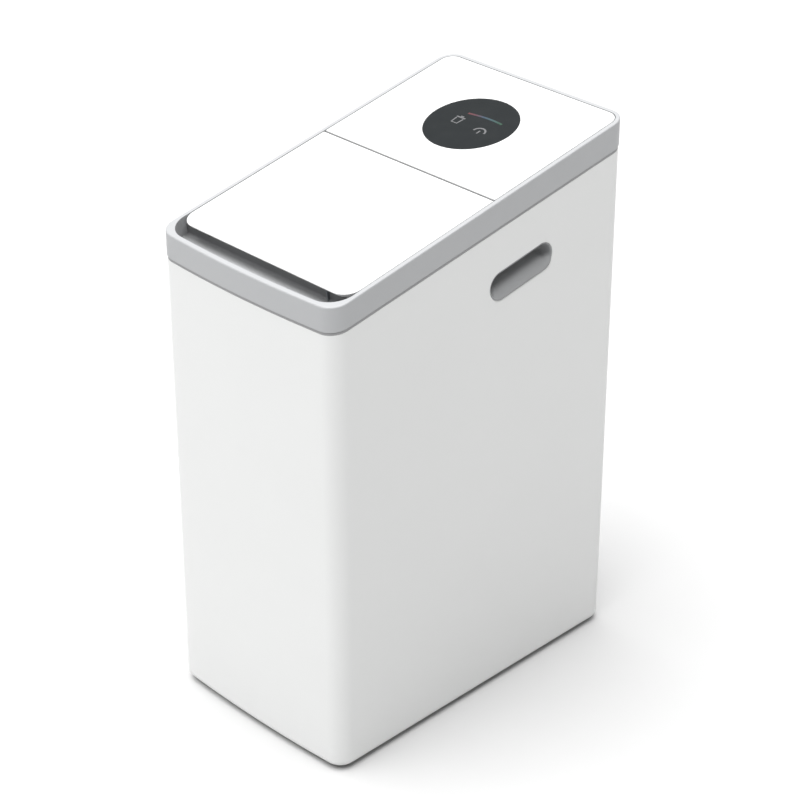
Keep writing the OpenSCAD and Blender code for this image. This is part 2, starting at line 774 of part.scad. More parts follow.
module carbon_filter() color([0.12, 0.12, 0.12]) difference() {
  block([-54.8, 160.4, filt_z - 12.1], [54.8, rear_y - 4.2, filt_z + 11]);
  for (x = [-44:8:44]) block([x - 1.5, 155, filt_z + 4], [x + 1.5, 250, filt_z + 20]);
}

module lock_solenoid() color([0.55, 0.56, 0.58]) slope() difference() {
  union() {
    block([60, 25, lock_n - 10], [92, 38, lock_n + 8]);
    block([54, 25, lock_n + 8], [96, 38.5, lock_n + 9.4]);
  }
  bar_x(lock_s, lock_n, 64, 100, 2.5 + clr);
}

module lock_bolt() color([0.8, 0.8, 0.82]) slope() bar_x(lock_s, lock_n, 68, tab_x - 3, 2.5);

module lid_sensor() color([0.12, 0.12, 0.13]) slope() {
  block([-112, 24, -38], [-88, 37, -28]);
  block([-118, 24, -28], [-82, 37.8, -26.6]);
}

module cover_screws() color([0.75, 0.76, 0.77])
  for (sx = [-1, 1], z = [40:80:680]) {
    bar_y(sx*122, z, y_r - cas, y_r, 3.2);
    bar_y(sx*122, z, rear_y - 8, y_r - cas, 1.5);
  }

module plate_bolts() color([0.5, 0.5, 0.52]) {
  for (z = screw_z, x = [-25, 25]) {
    bar_y(x, z, brg_y[0] - 2, brg_y[1] + 2, 2.5);
    bar_y(x, z, brg_y[1] + 2, brg_y[1] + 4.5, 4);
  }
  for (a = [45:90:315]) {
    bar_y(motor[0] + 22*cos(a), motor[1] + 22*sin(a), 184, brg_y[1], 1.85);
    bar_y(motor[0] + 22*cos(a), motor[1] + 22*sin(a), brg_y[1], brg_y[1] + 3, 3.5);
  }
}

// Run of cable through a list of corner points, each leg along one axis.
module cable(pts, r) for (i = [0:len(pts) - 2]) {
  v = pts[i + 1] - pts[i];
  translate(pts[i]) rotate(v[0] != 0 ? [0, v[0] > 0 ? 90 : -90, 0] : v[1] != 0
    ? [v[1] > 0 ? -90 : 90, 0, 0] : [v[2] > 0 ? 0 : 180, 0, 0]) cylinder(r = r, h = norm(v));
  translate(pts[i + 1]) sphere(r + 0.3);
}

module wiring_loom() color([0.15, 0.15, 0.16]) {
  cable([[-88, 226, 62], [-88, 210, 62], [-88, 210, 40], [-88, 177.75, 40]], 2.4);
  cable([[-88, 60, 40], [-88, 44, 40], [-88, 44, 130], [-112, 44, 130], [-112, 44, 205],
    [-112, 67.25, 205]], 2.4);
  cable([[-116, 68, 322.05], [-116, 68, 540], [-116, 130, 540], [-116, 130, 650],
    [0, 130, 650], [0, 130, 695.8]], 2);
  cable([[-112, 134, 315], [-80, 134, 315], [-80, 134, 250], [41.2, 134, 250]], 2.4);
}

// ---- lid ----

module lid_shape(i) intersection() {
  union() {
    rounded([i - mouth_hw + side_gap, lid_front + i], [mouth_hw - side_gap - i, hinge_s + 40], lid_cr - i);
  }
  translate([-200, -50]) square([400, 50 + hinge_s]);
}

module lid_outer() color([0.97, 0.97, 0.97]) slope() difference() {
  union() {
    translate([0, 0, -lid_t]) linear_extrude(lid_t) lid_shape(0);
    bar_x(hinge_s, -barrel_r, side_gap - mouth_hw, mouth_hw - side_gap, barrel_r);
  }
  translate([0, 0, -lid_t - 1]) linear_extrude(lid_t - 1.5) intersection() {
    lid_shape(2.5);
    translate([-200, lid_front + 9]) square([400, hinge_s - 15 - lid_front]);
  }
  // undercut that makes the front edge thin for the fingers
  rotate([90, 0, 90]) translate([0, 0, -160]) linear_extrude(320)
    polygon([[lid_front - 1, -1.2], [lid_front - 1, -20], [lid_front + 6, -20], [lid_front + 6, -lid_t]]);
  for (sx = [-1, 1]) bar_x(hinge_s, -barrel_r, sx*138 - 8, sx*138 + 8, 2);
}

module lid_inner() color([0.85, 0.86, 0.87]) slope() {
  translate([0, 0, -lid_t]) linear_extrude(2) intersection() {
    lid_shape(2.7);
    translate([-200, lid_front + 9.2]) square([400, hinge_s - 15.4 - lid_front]);
  }
  difference() {
    translate([0, 0, -lid_t - 5]) linear_extrude(5) rounded([-122, 52], [122, 248], 12);
    translate([0, 0, -lid_t - 3]) linear_extrude(3.01) rounded([-120, 54], [120, 246], 10);
  }
}

module lid_gasket() color([0.2, 0.2, 0.21]) slope() translate([0, 0, -lid_t - 2.8])
  linear_extrude(2.8) difference() {
    rounded([-139, 39.5], [139, 259.6], 12);
    rounded([-134.5, 44], [134.5, 256.9], 8);
  }

module hinge_pins() color([0.8, 0.8, 0.82]) slope()
  for (sx = [-1, 1]) bar_x(hinge_s, -barrel_r, sx*139 - 9, sx*139 + 9, 2);

// Hook whose foot passes under the lock bolt.
module lid_strike() color([0.75, 0.76, 0.78]) slope() {
  block([tab_x, lock_s + 3.3, lock_n - 6.5], [tab_x + 2, lock_s + 6.5, -lid_t]);
  block([tab_x, lock_s - 2.5, lock_n - 6.5], [tab_x + 2, lock_s + 6.5, lock_n - 3.6]);
  block([tab_x - 10, lock_s + 3.3, -lid_t - 1.5], [tab_x + 12, lock_s + 7.8, -lid_t]);
}

module lid_magnet() color([0.4, 0.4, 0.42]) slope()
  translate([-100, 37, -lid_t - 3]) cylinder(r = 2.2, h = 3);
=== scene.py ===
"""Trash compactor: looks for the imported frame."""
import json
import math

import bmesh
import bpy
from mathutils import Matrix, Vector

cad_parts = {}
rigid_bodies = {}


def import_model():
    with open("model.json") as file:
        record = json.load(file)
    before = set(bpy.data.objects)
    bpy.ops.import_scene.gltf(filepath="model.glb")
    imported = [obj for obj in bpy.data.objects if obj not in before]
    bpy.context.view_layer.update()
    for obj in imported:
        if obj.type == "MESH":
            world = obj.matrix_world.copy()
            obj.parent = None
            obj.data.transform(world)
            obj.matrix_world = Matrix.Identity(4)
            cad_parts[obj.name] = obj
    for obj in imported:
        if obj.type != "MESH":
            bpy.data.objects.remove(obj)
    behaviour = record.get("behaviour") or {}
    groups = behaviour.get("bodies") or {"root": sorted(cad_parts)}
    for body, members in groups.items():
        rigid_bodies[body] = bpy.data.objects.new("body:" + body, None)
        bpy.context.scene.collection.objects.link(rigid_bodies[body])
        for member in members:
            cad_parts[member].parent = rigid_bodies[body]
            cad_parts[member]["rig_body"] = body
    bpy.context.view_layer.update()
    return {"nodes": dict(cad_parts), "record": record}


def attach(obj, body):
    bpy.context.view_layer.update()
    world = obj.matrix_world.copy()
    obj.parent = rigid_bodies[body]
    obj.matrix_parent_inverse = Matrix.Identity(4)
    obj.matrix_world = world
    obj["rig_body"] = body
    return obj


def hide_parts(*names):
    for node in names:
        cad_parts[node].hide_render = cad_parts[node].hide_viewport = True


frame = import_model()
nodes = frame["nodes"]

# Sizes are in metres. Y runs to the rear, and s runs up the sloping top from the front
# corner, with n square to it.
SLOPE = math.radians(10)
SEAM_SLOPE = math.radians(9.6)
Y_FRONT = -0.245          # front corner plane
Z_TOP = 0.645             # top plane height there
Z_SEAM = 0.609            # casing top height there
FOOT = 0.005
HALF_W = 0.150
Y_APEX, Y_REAR = -0.249, 0.249
FRONT_R = 2.0
CORNER_R = 0.024
CASING_STEP = 0.0008
SHEET = 0.0015
BOTTOM_FILLET = 0.010
SEAM_GAP = 0.0036
MOUTH_HW = 0.1443
SIDE_GAP = 0.0012
HINGE_S, BARREL_R = 0.266, 0.004
DISPLAY_S, DISPLAY_R = 0.3823, 0.060
DISH_S, DISH_C, DISH_R = 0.038, 0.016, 0.040
LID_LEDGE_N = -0.011      # land under the lid's gasket
DECK_T = 0.003            # thickness of the deck's skin
# where the finger scoop's painted shade starts and where it is darkest, along the slope
SCOOP_SHADE_START_S, SCOOP_SHADE_FULL_S = 0.016, 0.041


# ---------------------------------------------------------------- materials

def new_material(name):
    mat = bpy.data.materials.new(name)
    mat.use_nodes = True
    tree = mat.node_tree
    return mat, tree, tree.nodes["Principled BSDF"]


def texture_coords(tree, stretch=(1, 1, 1)):
    coord = tree.nodes.new("ShaderNodeTexCoord")
    mapping = tree.nodes.new("ShaderNodeMapping")
    mapping.inputs["Scale"].default_value = stretch
    tree.links.new(coord.outputs["Object"], mapping.inputs["Vector"])
    return mapping.outputs["Vector"]


def noise(tree, vector, scale, detail=3.0, roughness=0.5):
    tex = tree.nodes.new("ShaderNodeTexNoise")
    tex.inputs["Scale"].default_value = scale
    tex.inputs["Detail"].default_value = detail
    tex.inputs["Roughness"].default_value = roughness
    tree.links.new(vector, tex.inputs["Vector"])
    return tex.outputs["Fac"]


def ramp(tree, factor, low, high, start=0.3, end=0.7):
    node = tree.nodes.new("ShaderNodeMapRange")
    node.inputs["From Min"].default_value = start
    node.inputs["From Max"].default_value = end
    node.inputs["To Min"].default_value = low
    node.inputs["To Max"].default_value = high
    tree.links.new(factor, node.inputs["Value"])
    return node.outputs["Result"]


def tint(tree, factor, dark, light):
    node = tree.nodes.new("ShaderNodeMix")
    node.data_type = "RGBA"
    node.inputs["A"].default_value = (*dark, 1)
    node.inputs["B"].default_value = (*light, 1)
    tree.links.new(factor, node.inputs["Factor"])
    return node.outputs["Result"]


def bump(tree, bsdf, height, strength, distance):
    node = tree.nodes.new("ShaderNodeBump")
    node.inputs["Strength"].default_value = strength
    node.inputs["Distance"].default_value = distance
    tree.links.new(height, node.inputs["Height"])
    tree.links.new(node.outputs["Normal"], bsdf.inputs["Normal"])


def surface(name, color, rough, metal=0.0, vary=0.03, rough_vary=0.05, mottle=9.0,
            grain=900.0, depth=0.00002, strength=0.3, coat=0.0, stretch=(1, 1, 1),
            specular=0.5):
    """One finish: slow colour mottling, uneven gloss and a fine grain in the surface."""
    mat, tree, bsdf = new_material(name)
    vec = texture_coords(tree, stretch)
    slow = noise(tree, vec, mottle, 4.0)
    dark = tuple(c * (1 - vary) for c in color)
    light = tuple(min(1.0, c * (1 + vary)) for c in color)
    tree.links.new(tint(tree, slow, dark, light), bsdf.inputs["Base Color"])
    mid = noise(tree, vec, mottle * 6, 5.0, 0.6)
    tree.links.new(ramp(tree, mid, rough - rough_vary, rough + rough_vary),
                   bsdf.inputs["Roughness"])
    fine = noise(tree, vec, grain, 2.0)
    bump(tree, bsdf, fine, strength, depth)
    bsdf.inputs["Metallic"].default_value = metal
    bsdf.inputs["Specular IOR Level"].default_value = specular
    if coat:
        bsdf.inputs["Coat Weight"].default_value = coat
        bsdf.inputs["Coat Roughness"].default_value = 0.06
    return mat


FINISH = {
    "white_paint": surface("white_paint", (0.695, 0.70, 0.695), 0.42, vary=0.012,
                           grain=420, depth=0.00004, strength=0.12),
    "silver_plastic": surface("silver_plastic", (0.398, 0.404, 0.412), 0.45, vary=0.02,
                              grain=1600, depth=0.00002, strength=0.2, specular=0.4),
    "white_gloss": surface("white_gloss", (0.74, 0.74, 0.74), 0.30, vary=0.006, rough_vary=0.012,
                           grain=300, depth=0.00002, strength=0.03, coat=0.15),
    "dark_glass": surface("dark_glass", (0.004, 0.0068, 0.0082), 0.22, vary=0.15,
                          grain=200, depth=0.00001, strength=0.03, coat=0.45),
    "grey_plastic": surface("grey_plastic", (0.62, 0.625, 0.63), 0.5, vary=0.02),
    # grey plastic of the hand-hold cups, made darker than the collar's same plastic: painted shade
    # in the recess
    "cup_grey_painted_shade": surface("cup_grey_painted_shade", (0.275, 0.28, 0.285), 0.5, vary=0.015),
    "dark_plastic": surface("dark_plastic", (0.03, 0.031, 0.033), 0.5, vary=0.12,
                            grain=1400, strength=0.35),
    "bin_plastic": surface("bin_plastic", (0.13, 0.14, 0.15), 0.48, vary=0.08,
                           grain=1100, strength=0.4),
    "liner_plastic": surface("liner_plastic", (0.52, 0.53, 0.54), 0.45, vary=0.02),
    "black_rubber": surface("black_rubber", (0.018, 0.018, 0.018), 0.75, vary=0.2,
                            grain=1500, strength=0.5),
    "grey_rubber": surface("grey_rubber", (0.30, 0.302, 0.305), 0.7, vary=0.1,
                           grain=1500, strength=0.5),
    "plate_steel": surface("plate_steel", (0.46, 0.47, 0.49), 0.38, metal=0.9, vary=0.06,
                           mottle=14, stretch=(1, 1, 12), grain=500, strength=0.25),
    "rear_paint": surface("rear_paint", (0.62, 0.62, 0.63), 0.45, vary=0.02,
                          grain=420, depth=0.00004, strength=0.15),
    "ground_steel": surface("ground_steel", (0.66, 0.67, 0.69), 0.2, metal=1.0, vary=0.05,
                            mottle=30, stretch=(1, 6, 1), grain=900, strength=0.2),
    "bronze": surface("bronze", (0.55, 0.36, 0.14), 0.35, metal=1.0, vary=0.1, mottle=60),
    "pulley_alu": surface("pulley_alu", (0.42, 0.43, 0.45), 0.36, metal=1.0, vary=0.05,
                          mottle=40, strength=0.2),
    "motor_case": surface("motor_case", (0.05, 0.052, 0.056), 0.4, vary=0.1),
    "pcb": surface("pcb", (0.015, 0.10, 0.045), 0.4, vary=0.25, mottle=120),
    "zinc_steel": surface("zinc_steel", (0.56, 0.57, 0.58), 0.34, metal=0.95, vary=0.12,
                          mottle=45, grain=700),
    "carbon": surface("carbon", (0.02, 0.02, 0.02), 0.9, vary=0.5, mottle=500,
                      grain=2500, depth=0.0003, strength=0.8),
}


def status_bar_material():
    """Lit bar that runs from red through blue to green along X."""
    mat, tree, bsdf = new_material("status_bar")
    coord = tree.nodes.new("ShaderNodeTexCoord")
    split = tree.nodes.new("ShaderNodeSeparateXYZ")
    tree.links.new(coord.outputs["Object"], split.inputs["Vector"])
    along = ramp(tree, split.outputs["X"], 0.0, 1.0, -0.021, 0.035)
    colors = tree.nodes.new("ShaderNodeValToRGB")
    stops = [(0.0, (0.100, 0.026, 0.030)), (0.22, (0.078, 0.032, 0.042)),
             (0.42, (0.032, 0.052, 0.082)), (0.65, (0.034, 0.066, 0.074)),
             (1.0, (0.022, 0.060, 0.034))]
    ramp_data = colors.color_ramp
    ramp_data.elements[0].position, ramp_data.elements[0].color = stops[0][0], (*stops[0][1], 1)
    ramp_data.elements[1].position, ramp_data.elements[1].color = stops[-1][0], (*stops[-1][1], 1)
    for position, color in stops[1:-1]:
        ramp_data.elements.new(position).color = (*color, 1)
    tree.links.new(along, colors.inputs["Fac"])
    tree.links.new(colors.outputs["Color"], bsdf.inputs["Base Color"])
    tree.links.new(colors.outputs["Color"], bsdf.inputs["Emission Color"])
    bsdf.inputs["Emission Strength"].default_value = 0.12
    bsdf.inputs["Roughness"].default_value = 0.4
    return mat


def scoop_painted_shade_material():
    """Collar plastic with painted shade: its colour darkens towards the back of the finger scoop,
    standing in for the shadow under the lid's front edge.
    """
    mat = surface("scoop_painted_shade", (0.398, 0.404, 0.412), 0.5, vary=0.02,
                  grain=1600, depth=0.00002, strength=0.2, specular=0.3)
    tree = mat.node_tree
    bsdf = tree.nodes["Principled BSDF"]
    coord = tree.nodes.new("ShaderNodeTexCoord")
    along = tree.nodes.new("ShaderNodeVectorMath")
    along.operation = "DOT_PRODUCT"
    along.inputs[1].default_value = (0, math.cos(SLOPE), math.sin(SLOPE))
    tree.links.new(coord.outputs["Object"], along.inputs[0])
    start = Y_FRONT * math.cos(SLOPE) + Z_TOP * math.sin(SLOPE)
    # painted shade factor: 1 at the scoop's lip, 0 at its back
    painted_shade_fac = ramp(tree, along.outputs["Value"], 1.0, 0.0, start + SCOOP_SHADE_START_S,
               start + SCOOP_SHADE_FULL_S)
    slow = noise(tree, coord.outputs["Object"], 9.0)
    mixed = tree.nodes.new("ShaderNodeMath")
    mixed.operation = "MULTIPLY_ADD"
    mixed.inputs[1].default_value = 0.04
    tree.links.new(slow, mixed.inputs[0])
    tree.links.new(painted_shade_fac, mixed.inputs[2])
    # painted shade: from dark grey at the back of the scoop to light grey at its lip
    tree.links.new(tint(tree, mixed.outputs["Value"], (0.105, 0.107, 0.110),
                        (0.46, 0.465, 0.47)), bsdf.inputs["Base Color"])
    return mat


FINISH["status_bar"] = status_bar_material()
FINISH["scoop_painted_shade"] = scoop_painted_shade_material()
FINISH["icon_white"] = surface("icon_white", (0.13, 0.13, 0.135), 0.5, vary=0.1, mottle=200)


# ---------------------------------------------------------------- mesh helpers

def top(x, s, n):
    """Point on the sloping top: across, up the slope and out of the top plane."""
    return Vector((x, Y_FRONT + s * math.cos(SLOPE) - n * math.sin(SLOPE),
                   Z_TOP + s * math.sin(SLOPE) + n * math.cos(SLOPE)))


def z_top(y):
    return Z_TOP + (y - Y_FRONT) * math.tan(SLOPE)


def z_seam(y):
    return Z_SEAM + (y - Y_FRONT) * math.tan(SEAM_SLOPE)


def arc(cx, cy, r, a0, a1, n):
    """n points from angle a0 to a1, in radians, both ends included."""
    return [(cx + r * math.cos(a0 + (a1 - a0) * i / (n - 1)),
             cy + r * math.sin(a0 + (a1 - a0) * i / (n - 1))) for i in range(n)]


def line(p, q, n):
    """n points strictly between p and q."""
    return [(p[0] + (q[0] - p[0]) * i / (n + 1), p[1] + (q[1] - p[1]) * i / (n + 1))
            for i in range(1, n + 1)]


def bowed(w, y0, y1, rf, r_front, r_rear):
    """Outline with straight sides, a bowed front and rounded corners, from the rear centre."""
    c = y0 + rf
    xf = w - r_front
    phi = math.asin(xf / (rf - r_front))
    cy = c - (rf - r_front) * math.cos(phi)
    xr, yr = w - r_rear, y1 - r_rear
    h = math.pi / 2
    pts = [(0.0, y1)] + line((0.0, y1), (-xr, y1), 3)
    pts += arc(-xr, yr, r_rear, h, 2 * h, 13)
    pts += line((-w, yr), (-w, cy), 8)
    pts += arc(-xf, cy, r_front, 2 * h, 3 * h - phi, 13)
    pts += arc(0, c, rf, -h - phi, -h + phi, 25)[1:-1]
    pts += arc(xf, cy, r_front, -h + phi, 0, 13)
    pts += line((w, cy), (w, yr), 8)
    pts += arc(xr, yr, r_rear, 0, h, 13)
    pts += line((xr, y1), (0.0, y1), 3)
    return pts


def plan(i):
    """Cabinet outline set in by i."""
    return bowed(HALF_W - i, Y_APEX + i, Y_REAR - i, FRONT_R - i, CORNER_R - i, CORNER_R - i)


def rounded(x0, y0, x1, y1, r, n=9):
    """Rectangle outline with rounded corners, counter-clockwise."""
    h = math.pi / 2
    return (arc(x1 - r, y1 - r, r, 0, h, n) + arc(x0 + r, y1 - r, r, h, 2 * h, n)
            + arc(x0 + r, y0 + r, r, 2 * h, 3 * h, n) + arc(x1 - r, y0 + r, r, 3 * h, 4 * h, n))


def finish_mesh(name, bm, slot_name, body, sharp=35, modifier=True):
    """Turns bm into a shown piece with smooth shading, riding on a body."""
    bmesh.ops.recalc_face_normals(bm, faces=bm.faces)
    me = bpy.data.meshes.new(name)
    bm.to_mesh(me)
    bm.free()
    obj = bpy.data.objects.new(name, me)
    bpy.context.scene.collection.objects.link(obj)
    me.materials.clear()
    me.materials.append(FINISH[slot_name])
    me.shade_smooth()
    me.set_sharp_from_angle(angle=math.radians(sharp))
    if modifier:
        mod = obj.modifiers.new("normals", "WEIGHTED_NORMAL")
        mod.keep_sharp = True
        mod.weight = 80
    if body:
        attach(obj, body)
    return obj


def loft(bm, rings, ring_closed=True, section_closed=True, caps=False):
    """Skins a list of equal-length rings of points."""
    rows = [[bm.verts.new(p) for p in ring] for ring in rings]
    count = len(rows[0])
    pairs = list(zip(rows, rows[1:]))
    if section_closed:
        pairs.append((rows[-1], rows[0]))
    for a, b in pairs:
        for i in range(count if ring_closed else count - 1):
            j = (i + 1) % count
            bm.faces.new((a[i], a[j], b[j], b[i]))
    if caps and not ring_closed:
        bm.faces.new([row[0] for row in rows])
        bm.faces.new([row[-1] for row in reversed(rows)])
    if caps and ring_closed:
        bm.faces.new(rows[0])
        bm.faces.new(rows[-1])
    return rows


def lathe(bm, profile, segments, place):
    """Solid of revolution: profile is (radius, height) pairs; place maps a local point."""
    rings = []
    for r, h in profile:
        rings.append([place(Vector((r * math.cos(2 * math.pi * k / segments),
                                    r * math.sin(2 * math.pi * k / segments), h)))
                      for k in range(segments)])
    loft(bm, rings, section_closed=False, caps=True)


def soft_box(bm, lo, hi, r, place=lambda p: p):
    """Box with rounded upright edges and eased top and bottom edges."""
    e = min(r, 0.0006)
    rings = []
    for inset, z in ((e, lo[2]), (0, lo[2] + e), (0, hi[2] - e), (e, hi[2])):
        pts = rounded(lo[0] + inset, lo[1] + inset, hi[0] - inset, hi[1] - inset,
                      max(r - inset, 0.0002), 5)
        rings.append([place(Vector((x, y, z))) for x, y in pts])
    loft(bm, rings, section_closed=False, caps=True)


def cut(obj, lo_hi_meshes):
    """Takes closed cutter meshes out of obj, then removes the cutters."""
    for bm in lo_hi_meshes:
        bmesh.ops.recalc_face_normals(bm, faces=bm.faces)
        me = bpy.data.meshes.new("cutter")
        bm.to_mesh(me)
        bm.free()
        tool = bpy.data.objects.new("cutter", me)
        bpy.context.scene.collection.objects.link(tool)
        mod = obj.modifiers.new("cut", "BOOLEAN")
        mod.operation, mod.solver, mod.object = "DIFFERENCE", "EXACT", tool
        bpy.context.view_layer.update()
        result = bpy.data.meshes.new_from_object(
            obj.evaluated_get(bpy.context.evaluated_depsgraph_get()))
        obj.modifiers.remove(mod)
        obj.data = result
        bpy.data.objects.remove(tool)


def refine(node, width, segments=2, sharp=30, slot_name=None):
    """A CAD node's mesh with its flat areas merged and its sharp edges eased."""
    body = nodes[node]["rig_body"]
    bm = bmesh.new()
    bm.from_mesh(nodes[node].data)
    bmesh.ops.remove_doubles(bm, verts=bm.verts, dist=2e-6)
    bmesh.ops.dissolve_limit(bm, angle_limit=math.radians(0.4), verts=bm.verts,
                             edges=bm.edges)
    edges = [e for e in bm.edges if len(e.link_faces) == 2
             and e.calc_face_angle(0) > math.radians(sharp)]
    bmesh.ops.bevel(bm, geom=edges, offset=width, segments=segments, profile=0.5,
                    affect="EDGES", clamp_overlap=True)
    slot_name = slot_name or SLOT_OF[node]
    obj = finish_mesh(node + "_eased", bm, slot_name, body)
    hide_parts(node)
    return obj


SLOT_OF = {s["node"]: s["material_slot"] for s in frame["record"]["subparts"]}
for name, obj in nodes.items():
    finish_name = SLOT_OF[name]
    obj.data.materials.clear()
    obj.data.materials.append(FINISH[finish_name])


# ---------------------------------------------------------------- casing

def casing_path(i, height):
    """Open path round the casing at one set-in, from the rear right flange to the left."""
    pts = plan(i)
    pts = [p for p in pts if not (p[1] > Y_REAR - i - 1e-6 and abs(p[0]) < 0.118)]
    y = Y_REAR - i
    pts = [(-0.118, y)] + pts + [(0.118, y)]
    return [Vector((x, yy, height(yy))) for x, yy in pts]


def build_casing():
    r, t, c = BOTTOM_FILLET, SHEET, CASING_STEP
    rings = []
    steps = 8
    for k in range(steps + 1):
        a = math.pi / 2 * k / steps
        rings.append(casing_path(c + r * (1 - math.sin(a)),
                                 lambda y, a=a: FOOT + r * (1 - math.cos(a))))
    rings.append(casing_path(c, lambda y: FOOT + 0.2))
    rings.append(casing_path(c, lambda y: FOOT + 0.4))
    rings.append(casing_path(c, lambda y: z_seam(y) - 0.0009))
    rings.append(casing_path(c + 0.00026, lambda y: z_seam(y) - 0.00026))
    rings.append(casing_path(c + 0.0009, z_seam))
    rings.append(casing_path(c + t, z_seam))
    for k in range(steps, -1, -1):
        a = math.pi / 2 * k / steps
        rings.append(casing_path(c + t + (r - t) * (1 - math.sin(a)),
                                 lambda y, a=a: FOOT + t + (r - t) * (1 - math.cos(a))))
    bm = bmesh.new()
    loft(bm, rings, ring_closed=False, caps=True)
    return finish_mesh("casing_shell", bm, "white_paint", "cabinet")


HOLD_Y, HOLD_Z, HOLD_L, HOLD_H = 0.065, 0.586, 0.110, 0.037


def hold_point(x, y, z):
    """Point in the hand-hold frame, which is tilted with the top."""
    return Vector((x, HOLD_Y + y * math.cos(SLOPE) - z * math.sin(SLOPE),
                   HOLD_Z + y * math.sin(SLOPE) + z * math.cos(SLOPE)))


def pill(grow, n=33):
    """Pill outline and its outward directions."""
    r = HOLD_H / 2
    half = HOLD_L / 2 - r
    h = math.pi / 2
    out = []
    for cx, a0, a1 in ((half, -h, h), (-half, h, 3 * h)):
        for k in range(n):
            a = a0 + (a1 - a0) * k / (n - 1)
            d = (math.cos(a), math.sin(a))
            out.append(((cx + (r + grow) * d[0], (r + grow) * d[1]), d))
        other = -cx
        side = 1 if cx > 0 else -1
        for k in range(1, 16):
            out.append(((cx + (other - cx) * k / 16, side * (r + grow)), (0.0, float(side))))
    return out


def pill_cutter(side):
    bm = bmesh.new()
    rings = []
    # the opening flares towards the outside, most at its lower edge
    for depth, flare in ((-0.004, 1.0), (0.0, 1.0), (0.0002, 0.55), (0.0006, 0.22),
                         (0.0011, 0.0), (0.004, 0.0)):
        x = side * (HALF_W - CASING_STEP - depth)
        ring = []
        for p, d in pill(0.0):
            w = max(0.0, -d[1])
            grow = flare * (0.0010 + 0.0022 * w * w)
            ring.append(hold_point(x, p[0] + d[0] * grow, p[1] + d[1] * grow))
        rings.append(ring)
    loft(bm, rings, section_closed=False, caps=True)
    return bm


def hand_cup(side, node):
    """Finger recess: straight walls above, a soft ramp up from the lower edge."""
    upper = [(0.0009, -0.0001), (0.004, 0.0), (0.010, 0.0002), (0.016, 0.0008),
             (0.0195, 0.0020), (0.0213, 0.0036), (0.0219, 0.0058)]
    lower = [(0.0009, -0.0001), (0.0012, 0.0020), (0.0024, 0.0052), (0.0052, 0.0088),
             (0.0100, 0.0122), (0.0160, 0.0145), (0.0219, 0.0160)]
    bm = bmesh.new()
    rings = []
    for (du, iu), (dl, il) in zip(upper, lower):
        ring = []
        for p, d in pill(0.0):
            w = max(0.0, -d[1])
            w = w * w * (3 - 2 * w)
            depth = du + (dl - du) * w
            inset = iu + (il - iu) * w
            x = side * (HALF_W - CASING_STEP - depth)
            ring.append(hold_point(x, p[0] - d[0] * inset, p[1] - d[1] * inset))
        rings.append(ring)
    loft(bm, rings, section_closed=False)
    rows = list(bm.verts)[-len(rings[0]):]
    bm.faces.new(rows)
    bmesh.ops.recalc_face_normals(bm, faces=bm.faces)
    # the cup's finish is the collar's grey, darkened by painted shade
    obj = finish_mesh(node + "_moulded", bm, "cup_grey_painted_shade", "cabinet", sharp=50)
    solid = obj.modifiers.new("wall", "SOLIDIFY")
    solid.thickness = 0.0016
    solid.offset = 1.0 if side < 0 else -1.0
    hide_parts(node)
    return obj


casing = build_casing()
cut(casing, [pill_cutter(1), pill_cutter(-1)])
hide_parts("casing_wrap")
hand_cup(1, "hand_cup_right")
hand_cup(-1, "hand_cup_left")


# ---------------------------------------------------------------- collar

def mouth(grow):
    return bowed(MOUTH_HW + grow, 0.0025 - grow, 0.496 + grow, FRONT_R, 0.032 + grow,
                 0.018 + grow)


def dish(s):
    """Depth of the finger scoop at one place along the slope."""
    return DISH_C - math.sqrt(max(DISH_R ** 2 - (DISH_S - s) ** 2, 0))


